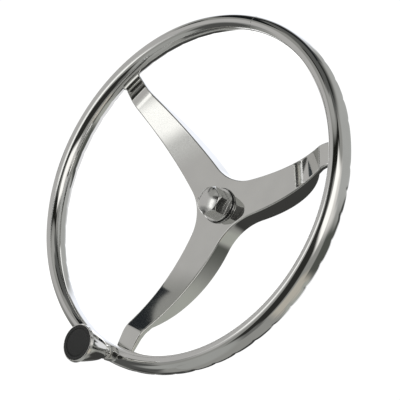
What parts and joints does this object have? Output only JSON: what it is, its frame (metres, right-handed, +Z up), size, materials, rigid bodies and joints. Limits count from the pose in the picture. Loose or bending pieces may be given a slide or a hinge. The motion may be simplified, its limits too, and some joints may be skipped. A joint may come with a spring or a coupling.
{
  "type": "boat steering wheel with spinner knob",
  "caption": "Polished stainless steel boat steering wheel with dished spokes, a finger-grip rim, a central cap nut and a free-spinning knob on the rim.",
  "frame": {"origin": "centre of the hub boss's rear face, on the wheel's axis, where the tapered helm shaft enters", "axes": "+Y along the wheel's axis away from the driver, who faces the wheel from -Y; +Z up, with one spoke pointing down; +X to the driver's right"},
  "size_m": [0.3944, 0.1582, 0.4039],
  "materials": {
    "polished_steel": "mirror polished 316 stainless steel",
    "turned_steel": "machined stainless steel",
    "bearing_steel": "ground bearing steel",
    "black_plastic": "satin moulded black plastic",
    "nylon": "natural acetal",
    "black_rubber": "smooth nitrile rubber"
  },
  "bodies": {
    "wheel": {"rim_tube": "polished_steel", "rim_joint_sleeve": "turned_steel", "hub_spider": "polished_steel", "hub_boss": "turned_steel", "hub_washer": "polished_steel", "cap_nut_seal": "black_rubber", "cap_nut": "polished_steel", "knob_boss": "polished_steel", "knob_jam_nut": "polished_steel", "knob_thrust_washer": "turned_steel", "knob_spindle": "turned_steel", "bearing_inner_race": "bearing_steel", "spindle_washer": "turned_steel", "spindle_screw": "turned_steel"},
    "knob": {"knob_shell": "polished_steel", "knob_cap": "black_plastic", "knob_bush": "nylon", "bearing_outer_race": "bearing_steel", "bearing_rear_shield": "bearing_steel", "bearing_front_shield": "bearing_steel", "bearing_circlip": "bearing_steel"},
    "bearing_balls": {"bearing_ball_set": "bearing_steel"}
  },
  "joints": [
    {"name": "knob_spin", "type": "hinge", "parent": "wheel", "child": "knob", "pos_m": [0.01407, -0.14, -0.18707], "axis": [0, -1, 0], "continuous": true},
    {"name": "ball_orbit", "type": "hinge", "parent": "wheel", "child": "bearing_balls", "pos_m": [0.01407, -0.1395, -0.18707], "axis": [0, -1, 0], "continuous": true}
  ],
  "couplings": [
    {"joint": "ball_orbit", "follows": "knob_spin", "ratio": 0.6323}
  ]
}
